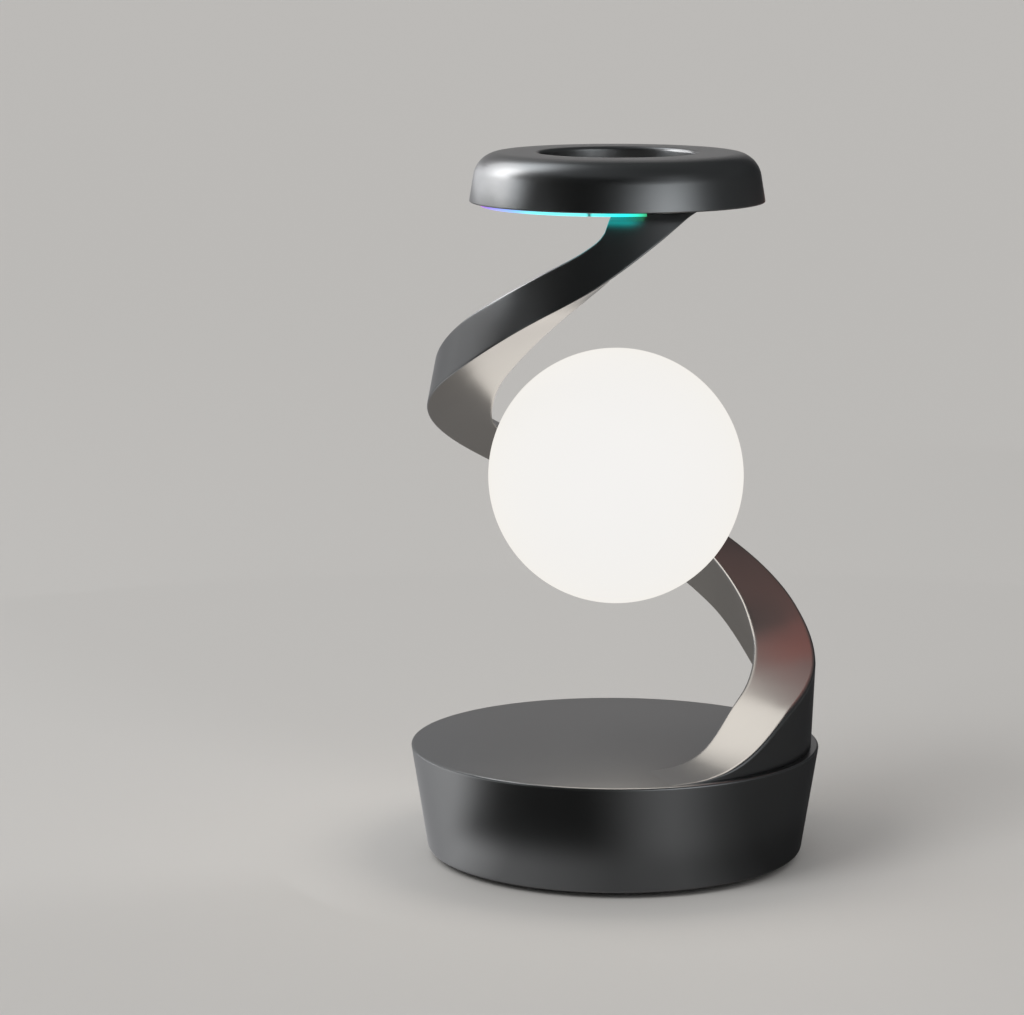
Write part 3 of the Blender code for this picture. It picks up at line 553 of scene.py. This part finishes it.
# Base
def cut_round(piece, radius, depth, at):
    """Cuts a round hole into a piece, by a drill that a matrix puts in place."""
    shape = bmesh.new()
    bmesh.ops.create_cone(shape, cap_ends=True, segments=SMALL_STEPS, radius1=radius, radius2=radius,
                          depth=depth, matrix=at)
    mesh = bpy.data.meshes.new("drill")
    shape.to_mesh(mesh)
    shape.free()
    drill = bpy.data.objects.new("drill", mesh)
    bpy.context.scene.collection.objects.link(drill)
    boolean = piece.modifiers.new("Hole", "BOOLEAN")
    boolean.operation, boolean.object = "DIFFERENCE", drill
    graph = bpy.context.evaluated_depsgraph_get()
    piece.data = bpy.data.meshes.new_from_object(piece.evaluated_get(graph))
    piece.modifiers.clear()
    bpy.data.objects.remove(drill)
    piece.data.set_sharp_from_angle(angle=math.radians(SMOOTH_DEGREES))


def make_base():
    """The base's casting, a shell that is open below, with a hole for the inlet at the back."""
    profile = rounded(
        (
            (0, DECK_TOP),
            (BASE_TOP_RADIUS, DECK_TOP, BASE_RIM_ROUND),
            (BASE_BOTTOM_RADIUS, BASE_FLOOR, BASE_FLOOR_ROUND),
            (BASE_BOTTOM_RADIUS - BASE_WALL, BASE_FLOOR, SEAM),
            (BASE_BOTTOM_RADIUS - BASE_WALL, BASE_FLOOR + BOTTOM_THICKNESS),
            (BASE_TOP_RADIUS - BASE_WALL, DECK_TOP - BASE_WALL),
            (0, DECK_TOP - BASE_WALL),
        ),
        steps=6,
    )
    shell = turned("base_casting", profile, graphite, "base", ("base_shell",))
    at = Matrix.Translation((0, BASE_BOTTOM_RADIUS, INLET_LEVEL)) @ Matrix.Rotation(math.pi / 2, 4, "X")
    cut_round(shell, INLET_RADIUS + SEAM, BASE_BOTTOM_RADIUS, at)


def make_inlet():
    """The round socket at the back of the base, with its pin. Its profile turns round a line along -Y."""
    profile = rounded(
        (
            (0, -INLET_END),
            (INLET_RADIUS, -INLET_END),
            (INLET_RADIUS, -INLET_MOUTH, INLET_ROUND),
            (INLET_BORE_RADIUS, -INLET_MOUTH, INLET_ROUND),
            (INLET_BORE_RADIUS, -INLET_MOUTH + INLET_BORE_DEPTH),
            (INLET_PIN_RADIUS, -INLET_MOUTH + INLET_BORE_DEPTH),
            (INLET_PIN_RADIUS, -INLET_MOUTH + INLET_PIN_DEPTH, INLET_ROUND),
            (0, -INLET_MOUTH + INLET_PIN_DEPTH),
        )
    )
    at = Matrix.Translation((0, 0, INLET_LEVEL)) @ Matrix.Rotation(math.pi / 2, 4, "X")
    turned("inlet_socket", profile, black_plastic, "base", ("dc_inlet",), SMALL_STEPS, at=at)


def make_feet():
    profile = rounded(((0, FOOT_HEIGHT), (FOOT_RADIUS, FOOT_HEIGHT), (FOOT_RADIUS, 0, FOOT_ROUND), (0, 0)))
    for number, degrees in enumerate(FOOT_ANGLES, 1):
        at = Matrix.Translation(polar(FOOT_CIRCLE, math.radians(degrees), 0))
        turned(f"rubber_foot_{number}", profile, rubber, "base", (f"foot_{number}",), SMALL_STEPS, at=at)


def make_screw(number, node_name):
    """A cap screw with a six-sided socket, its head down, in the place of its CAD node."""
    lowest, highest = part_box(node_name)
    at = Matrix.Translation(((lowest[0] + highest[0]) / 2, (lowest[1] + highest[1]) / 2, lowest[2]))
    shape = bmesh.new()
    outside = rounded(
        (
            (SCREW_HEAD_RADIUS, 0, SCREW_ROUND),
            (SCREW_HEAD_RADIUS, SCREW_HEAD_HEIGHT),
            (SCREW_SHANK_RADIUS, SCREW_HEAD_HEIGHT),
            (SCREW_SHANK_RADIUS, SCREW_HEAD_HEIGHT + SCREW_LENGTH),
            (0, SCREW_HEAD_HEIGHT + SCREW_LENGTH),
        )
    )[:-1]
    turns = [2 * math.pi * step / SMALL_STEPS for step in range(SMALL_STEPS)]
    rows = [[at @ polar(radius, a, height) for a in turns] for radius, height in outside]
    side = 2 * math.pi / SOCKET_SIDES
    for height in (0, SOCKET_DEPTH):
        row = []
        for a in turns:
            reach = SOCKET_RADIUS * math.cos(side / 2) / math.cos(a % side - side / 2)
            row.append(at @ polar(reach, a, height))
        rows.insert(0, row)
    verts = grid(shape, rows)
    shape.faces.new(verts[0])
    shape.faces.new(verts[-1])
    add_piece(f"cap_screw_{number}", shape, steel, "base", (node_name,))


# Head
def make_head_ring():
    """The head's casting, a ring that is open below."""
    profile = rounded(
        (
            (HOLE_RADIUS, HEAD_TOP, HOLE_ROUND),
            (HEAD_TOP_RADIUS, HEAD_TOP, HEAD_ROUND),
            (HEAD_RADIUS, HEAD_BOTTOM, HEAD_EDGE_ROUND),
            (HEAD_RADIUS - HEAD_WALL, HEAD_BOTTOM),
            (HEAD_TOP_RADIUS - HEAD_WALL, HEAD_TOP - HEAD_WALL, HEAD_ROUND - HEAD_WALL),
            (HOLE_RADIUS + HEAD_WALL, HEAD_TOP - HEAD_WALL),
            (HOLE_RADIUS + HEAD_WALL, HEAD_BOTTOM),
            (HOLE_RADIUS, HEAD_BOTTOM, HEAD_EDGE_ROUND),
        ),
        steps=12,
    )
    turned("head_ring", profile, graphite, "base", ("head_cover",), closed=True)


def make_light_guide():
    """The diffuser of the light strip, a ring with a gap in it."""
    section = rounded(
        (
            (GUIDE_INNER, GUIDE_TOP),
            (GUIDE_OUTER, GUIDE_TOP),
            (GUIDE_OUTER, GUIDE_BOTTOM, GUIDE_ROUND),
            (GUIDE_INNER, GUIDE_BOTTOM, GUIDE_ROUND),
        ),
        steps=3,
    )
    turns = np.radians(np.linspace(GUIDE_FROM, GUIDE_TO, GUIDE_TO - GUIDE_FROM))
    shape = bmesh.new()
    verts = grid(shape, [[polar(radius, a, height) for radius, height in section] for a in turns])
    shape.faces.new(verts[0])
    shape.faces.new(verts[-1])
    add_piece("strip_guide", shape, strip, "base", ("light_guide",))


# Globe
def sphere_arc(radius, start, end, steps):
    """Points (radius, height) on a sphere round the globe's centre, by the polar angle, down from the top."""
    angles = np.radians(np.linspace(start, end, steps + 1))
    return [(radius * math.sin(a), GLOBE_CENTRE + radius * math.cos(a)) for a in angles]


def polar_angle(reach, radius):
    """The polar angle, down from the top, at which a sphere's lower half has a radius."""
    return 180 - math.degrees(math.asin(reach / radius))


def make_shade():
    """The globe, a hollow ball with an opening at the bottom."""
    inner = GLOBE_RADIUS - GLOBE_WALL
    profile = sphere_arc(GLOBE_RADIUS, 0, polar_angle(OPENING_RADIUS, GLOBE_RADIUS), GLOBE_STEPS)
    profile += sphere_arc(inner, polar_angle(OPENING_RADIUS, inner), 0, CAP_STEPS)
    turned("globe_opal", profile, opal, "globe", ("globe_shade",))


def make_cap():
    """The cap in the globe's opening, with the cup that holds the magnet."""
    seat = GLOBE_CENTRE - math.sqrt((GLOBE_RADIUS - GLOBE_WALL)**2 - CAP_RADIUS**2)
    profile = [
        (0, CUP_FLOOR),
        (CUP_INNER, CUP_FLOOR),
        (CUP_INNER, CUP_TOP),
        (CUP_OUTER, CUP_TOP),
        (CUP_OUTER, seat),
        (CAP_RADIUS, seat),
    ]
    profile += sphere_arc(GLOBE_RADIUS, polar_angle(CAP_RADIUS, GLOBE_RADIUS), 180, CAP_STEPS)
    turned("globe_base_cap", profile, opal, "globe", ("globe_cap",))


make_base()
make_inlet()
make_feet()
make_arm()
make_head_ring()
make_light_guide()
make_shade()
make_cap()
for number, node_name in enumerate(SCREW_NODES, 1):
    make_screw(number, node_name)

# Finishes of the CAD nodes, by their material slot
NODE_LOOKS = {
    "graphite_metal": graphite,
    "black_plastic": black_plastic,
    "rubber": rubber,
    "steel": steel,
    "nickel_plate": nickel,
    "copper_wire": winding,
    "ferrite": ferrite,
    "circuit_board": circuit,
    "light_board": white_board,
    "light_guide": diffuser,
    "opal_globe": opal,
}
for subpart in frame["record"]["subparts"]:
    materials = frame["nodes"][subpart["node"]].data.materials
    materials.clear()
    materials.append(NODE_LOOKS[subpart["material_slot"]])


# Studio
FLOOR_RADIUS = 12.0
FLOOR_COLOUR = (0.72, 0.714, 0.702)
SKY_COLOUR = (0.52, 0.51, 0.50)

# Lamps: the softbox at the left, the soft sun, the light that the globe gives, and a red glow behind the arm
MIDDLE = (0, 0, 0.14)
SOFTBOX_ANGLE, SOFTBOX_DISTANCE, SOFTBOX_HEIGHT = -118, 1.2, 0.62
SOFTBOX_SIZE = 1.2
SOFTBOX_LEVEL = 2.3
SUN_COLOUR = (1.0, 0.99, 0.97)
SUN_LEVEL = 0.8
SUN_TURN = (math.radians(28), math.radians(-38), 0)
SUN_SPREAD = 30
GLOW_COLOUR = (1.0, 0.90, 0.77)
GLOW_LEVEL = 1.85
GLOW_GAP = 0.0002
RED_COLOUR = (1.0, 0.16, 0.10)
RED_LEVEL = 0.7
RED_RADIUS = 0.018
RED_CONE = 40
RED_PLACE = (0.060, 0.090, 0.200)
RED_AIM = (0.057, -0.005, 0.066)

# Camera
CAMERA_LENS = 131.5
CAMERA_DISTANCE = 1.1671
CAMERA_OVER_DECK = 0.2691
CAMERA_DIP = 9.42
CAMERA_TURN = 1.61

# Tones of the studio cards: angle from the camera's side, to the right, then how bright, then how much the
# card covers there
WALL_TONES = (
    (-97, 1.8, 0),
    (-90, 1.8, 1),
    (-80, 1.25, 1),
    (-68, 0.95, 1),
    (-54, 0.28, 1),
    (-44, 0.012, 1),
    (-15, 0.015, 1),
    (2, 0.11, 1),
    (17, 0.52, 1),
    (30, 1.15, 1),
    (42, 1.35, 1),
    (55, 0.76, 1),
    (69, 0.19, 1),
    (84, 0.08, 1),
    (160, 0.08, 1),
    (172, 0.08, 0),
)
HIGH_WALL_TONES = (
    (-104, 0.03, 0),
    (-92, 0.03, 1),
    (5, 0.02, 1),
    (28, 0.1, 1),
    (45, 0.22, 1),
    (56, 0.28, 1),
    (66, 0.13, 1),
    (78, 0.08, 1),
    (160, 0.1, 1),
    (172, 0.1, 0),
)
NEAR_FLOOR_TONES = (
    (-180, 0.60, 1),
    (-150, 0.85, 1),
    (-65, 0.85, 1),
    (-40, 0.32, 1),
    (0, 0.15, 1),
    (24, 0.17, 1),
    (44, 0.07, 1),
    (60, 0.04, 1),
    (150, 0.06, 1),
    (180, 0.60, 1),
)
FLOOR_TONES = (
    (-180, 0.42, 1),
    (-148, 0.42, 1),
    (-130, 0.85, 1),
    (-80, 0.85, 1),
    (-62, 0.12, 1),
    (-52, 0.02, 1),
    (-10, 0.02, 1),
    (0, 0.07, 1),
    (13, 0.2, 1),
    (24, 0.28, 1),
    (34, 0.21, 1),
    (44, 0.11, 1),
    (60, 0.06, 1),
    (150, 0.08, 1),
    (180, 0.42, 1),
)
ARM_CARD_TONES = (
    (-165, 0.55, 0),
    (-150, 0.55, 1),
    (-105, 0.55, 1),
    (-92, 0.42, 1),
    (-82, 0.22, 1),
    (-72, 0.04, 1),
    (-62, 0.015, 1),
    (-44, 0.015, 0),
)
ARM_TOP_CARD_TONES = ((-76, 0.02, 0), (-66, 0.02, 1), (-40, 0.02, 1), (-30, 0.02, 0))
CEILING_TONES = ((-180, 0.12, 1), (-60, 0.14, 1), (60, 0.08, 1), (180, 0.12, 1))
BEIGE_TONES = (
    (-180, 1.6, 1),
    (-172, 1.5, 1),
    (-160, 1.5, 0),
    (160, 1.2, 0),
    (168, 1.5, 1),
    (180, 1.6, 1),
)
BACK_FLOOR_TONES = (
    (-180, 0.5, 1),
    (-150, 0.5, 1),
    (-140, 0.5, 0),
    (165, 0.5, 0),
    (175, 0.5, 1),
    (180, 0.5, 1),
)
WARM_TONES = (
    (95, 0.29, 0),
    (110, 0.29, 1),
    (148, 0.28, 1),
    (155, 0.42, 1),
    (162, 0.8, 1),
    (171, 0.9, 0),
)
LEFT_RIM_TONES = ((-150, 2.6, 0), (-140, 2.6, 1), (-118, 2.6, 1), (-106, 2.6, 0))
HOLE_TONES = ((-114, 5.0, 0), (-108, 5.0, 1), (-94, 5.0, 1), (-86, 5.0, 0))
EDGE_GLOW_TONES = ((-48, 3.0, 0), (-34, 3.0, 1), (-8, 3.0, 1), (-3, 3.0, 0))
STRIP_GLOW_TONES = ((-8, 1.6, 0), (-4, 1.6, 1), (6, 1.6, 1), (13, 0.8, 0))
LEFT_CEILING_TONES = ((-160, 2.3, 0), (-132, 2.3, 1), (-105, 2.0, 1), (-80, 1.5, 0))

# Tints of the studio cards
WHITE = (1.0, 1.0, 1.0)
COOL = (0.94, 0.98, 1.0)
BEIGE = (1.0, 0.92, 0.83)
BROWN = (1.0, 0.66, 0.60)
TEAL = (0.02, 0.85, 0.80)
CYAN = (0.02, 0.80, 0.85)

# Studio cards: name, tones, tint, then the reach and height of each of the two edges, then, where the card
# fades in, the distances from the origin at which the fade starts and ends
CARDS = (
    ("wall_card", WALL_TONES, COOL, (0.9, 0.0), (0.9, 0.5), None),
    ("high_wall_card", HIGH_WALL_TONES, COOL, (0.9, 0.5), (0.9, 1.1), None),
    ("near_floor_card", NEAR_FLOOR_TONES, WHITE, (0.059, 0.0003), (0.11, 0.0003), None),
    ("floor_card", FLOOR_TONES, WHITE, (0.07, 0.0006), (0.5, 0.0006), (0.072, 0.092)),
    ("arm_card", ARM_CARD_TONES, WHITE, (0.17, 0.05), (0.17, 0.222), None),
    ("arm_top_card", ARM_TOP_CARD_TONES, WHITE, (0.17, 0.222), (0.17, 0.30), None),
    ("ceiling_card", CEILING_TONES, COOL, (0.0001, 1.5), (1.4, 1.5), None),
    ("beige_card", BEIGE_TONES, BEIGE, (0.1, 0.201), (0.2, 0.201), None),
    ("back_floor_card", BACK_FLOOR_TONES, BEIGE, (0.08, 0.0009), (0.3, 0.0009), None),
    ("warm_card", WARM_TONES, BROWN, (0.07, 0.2), (0.2, 0.2), None),
    ("hole_card", HOLE_TONES, WHITE, (0.165, 0.255), (0.165, 0.34), None),
    ("left_rim_card", LEFT_RIM_TONES, WHITE, (0.165, 0.211), (0.165, 0.25), None),
    ("strip_glow_card", STRIP_GLOW_TONES, TEAL, (0.0431, 0.2071), (0.0468, 0.2071), (0.2123, 0.2115)),
    ("edge_glow_card", EDGE_GLOW_TONES, CYAN, (0.03, 0.2078), (0.041, 0.2078), None),
    ("left_ceiling_card", LEFT_CEILING_TONES, COOL, (0.0001, 1.49), (1.4, 1.49), (1.5, 1.8)),
)


def add_stage(name, shape, look):
    """Makes a part of the studio from its shape."""
    mesh = bpy.data.meshes.new(name)
    shape.to_mesh(mesh)
    shape.free()
    mesh.materials.append(look)
    made = bpy.data.objects.new(name, mesh)
    bpy.context.scene.collection.objects.link(made)
    return made


def make_floor():
    made, _, shader = new_material("pale_floor")
    shader.inputs["Base Color"].default_value = (*FLOOR_COLOUR, 1)
    shader.inputs["Roughness"].default_value = 0.7
    shader.inputs["Specular IOR Level"].default_value = 0.2
    shape = bmesh.new()
    bmesh.ops.create_circle(shape, cap_ends=True, segments=ROUND_STEPS, radius=FLOOR_RADIUS)
    add_stage("floor", shape, made)


def make_world():
    world = bpy.data.worlds.new("studio")
    world.use_nodes = True
    world.node_tree.nodes["Background"].inputs["Color"].default_value = (*SKY_COLOUR, 1)
    bpy.context.scene.world = world


def add_lamp(name, kind, place, colour, energy, **settings):
    """A lamp that the camera doesn't see."""
    data = bpy.data.lights.new(name, kind)
    data.color = colour
    data.energy = energy
    for key, value in settings.items():
        setattr(data, key, value)
    lamp = bpy.data.objects.new(name, data)
    lamp.location = place
    lamp.visible_camera = False
    bpy.context.scene.collection.objects.link(lamp)
    return lamp


def aim(lamp, place):
    """Turns a lamp towards a place."""
    lamp.rotation_mode = "QUATERNION"
    lamp.rotation_quaternion = (Vector(place) - lamp.location).to_track_quat("-Z", "Y")


def ball_power(level, radius):
    """The power of a ball-shaped lamp whose surface is as bright as its level."""
    return level * 4 * math.pi * math.pi * radius**2


def around(degrees, distance, height):
    """A place round the lamp, by its angle from the side that the camera is on, to the right."""
    return polar(distance, math.radians(degrees - 90), height)


def card_material(name, tones, tint, fade):
    """A glow whose tone goes round with the angle from the camera's side, and may fade in from the middle."""
    made, tree, shader = new_material(name)
    where = node(tree, "ShaderNodeTexCoord").outputs["Object"]
    parts = node(tree, "ShaderNodeSeparateXYZ", {"Vector": where})
    front = node(tree, "ShaderNodeMath", {0: parts.outputs["Y"], 1: -1.0}, operation="MULTIPLY")
    stops = [(degrees, (*(value * tone for value in tint), cover)) for degrees, tone, cover in tones]
    ramp = angle_ramp(tree, parts.outputs["X"], front.outputs[0], stops)
    cover = ramp.outputs["Alpha"]
    if fade:
        reach = node(tree, "ShaderNodeVectorMath", {0: where}, operation="LENGTH").outputs["Value"]
        near = node(tree, "ShaderNodeMapRange", {"Value": reach, "From Min": fade[0], "From Max": fade[1]},
                    interpolation_type="SMOOTHSTEP")
        faded = node(tree, "ShaderNodeMath", {0: cover, 1: near.outputs["Result"]}, operation="MULTIPLY")
        cover = faded.outputs[0]
    clear = node(tree, "ShaderNodeBsdfTransparent")
    light = node(tree, "ShaderNodeEmission", {"Color": ramp.outputs["Color"]})
    mix = node(tree, "ShaderNodeMixShader", {0: cover, 1: clear.outputs[0], 2: light.outputs[0]})
    tree.links.new(mix.outputs[0], tree.nodes["Material Output"].inputs["Surface"])
    tree.nodes.remove(shader)
    return made


def add_card(name, look, edges):
    """A ring of card that only reflections see, from one edge (distance from the axis, height) to another."""
    shape = bmesh.new()
    turns = range(-180, 180, CARD_STEP)
    grid(shape, [[around(degrees, *edge) for degrees in turns] for edge in edges])
    card = add_stage(name, shape, look)
    card.visible_camera = card.visible_diffuse = card.visible_shadow = card.visible_transmission = False


def make_lights():
    place = around(SOFTBOX_ANGLE, SOFTBOX_DISTANCE, SOFTBOX_HEIGHT)
    left = add_lamp("left_softbox", "AREA", place, WHITE, SOFTBOX_LEVEL * math.pi * SOFTBOX_SIZE**2,
                    shape="RECTANGLE", size=SOFTBOX_SIZE, size_y=SOFTBOX_SIZE)
    left.visible_diffuse = False
    aim(left, MIDDLE)
    sun = add_lamp("soft_sun", "SUN", (0, 0, 2), SUN_COLOUR, SUN_LEVEL, angle=math.radians(SUN_SPREAD))
    sun.rotation_euler = SUN_TURN
    sun.visible_glossy = False
    add_lamp("globe_glow", "POINT", (0, 0, GLOBE_CENTRE), GLOW_COLOUR, ball_power(GLOW_LEVEL, GLOBE_RADIUS),
             shadow_soft_size=GLOBE_RADIUS + GLOW_GAP, use_soft_falloff=False)
    red = add_lamp("red_glow", "SPOT", RED_PLACE, RED_COLOUR, ball_power(RED_LEVEL, RED_RADIUS),
                   shadow_soft_size=RED_RADIUS, spot_size=math.radians(RED_CONE), spot_blend=1.0,
                   use_soft_falloff=False)
    aim(red, RED_AIM)


def make_camera():
    data = bpy.data.cameras.new("camera")
    data.sensor_width = 36.0
    data.sensor_fit = "HORIZONTAL"
    data.lens = CAMERA_LENS
    data.clip_start, data.clip_end = 0.05, 60.0
    camera = bpy.data.objects.new("camera", data)
    camera.location = (0.0, -CAMERA_DISTANCE, DECK_TOP + CAMERA_OVER_DECK)
    camera.rotation_euler = (math.radians(90 - CAMERA_DIP), 0.0, math.radians(CAMERA_TURN))
    bpy.context.scene.collection.objects.link(camera)
    bpy.context.scene.camera = camera


make_floor()
make_world()
for name, tones, tint, inner, outer, fade in CARDS:
    add_card(name, card_material(name, tones, tint, fade), (inner, outer))
make_lights()
make_camera()
bpy.context.scene.view_settings.view_transform = "Standard"
